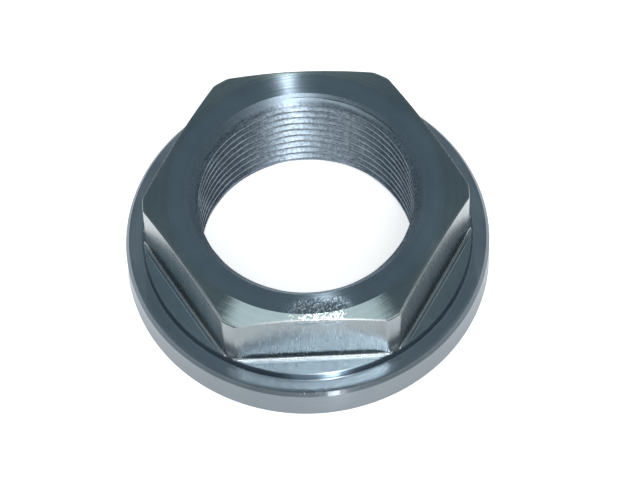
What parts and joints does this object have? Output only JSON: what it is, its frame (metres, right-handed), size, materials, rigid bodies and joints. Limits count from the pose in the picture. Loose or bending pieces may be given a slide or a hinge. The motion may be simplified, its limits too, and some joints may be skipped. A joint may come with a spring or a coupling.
{
  "type": "hexagonal flange nut",
  "caption": "Machined steel hexagonal nut with a round flange and a fine internal thread, for clamping on a shaft or stud and driven by a spanner",
  "frame": {"origin": "centre of the flat bearing face, on the bore's axis", "axes": "+Z along the bore's axis, from the bearing face to the crown; -Y towards one flat of the hexagon"},
  "size_m": [0.0485, 0.0484, 0.0165],
  "materials": {
    "steel": "machined satin, lightly oiled"
  },
  "bodies": {
    "root": {"nut": "steel"}
  },
  "joints": []
}
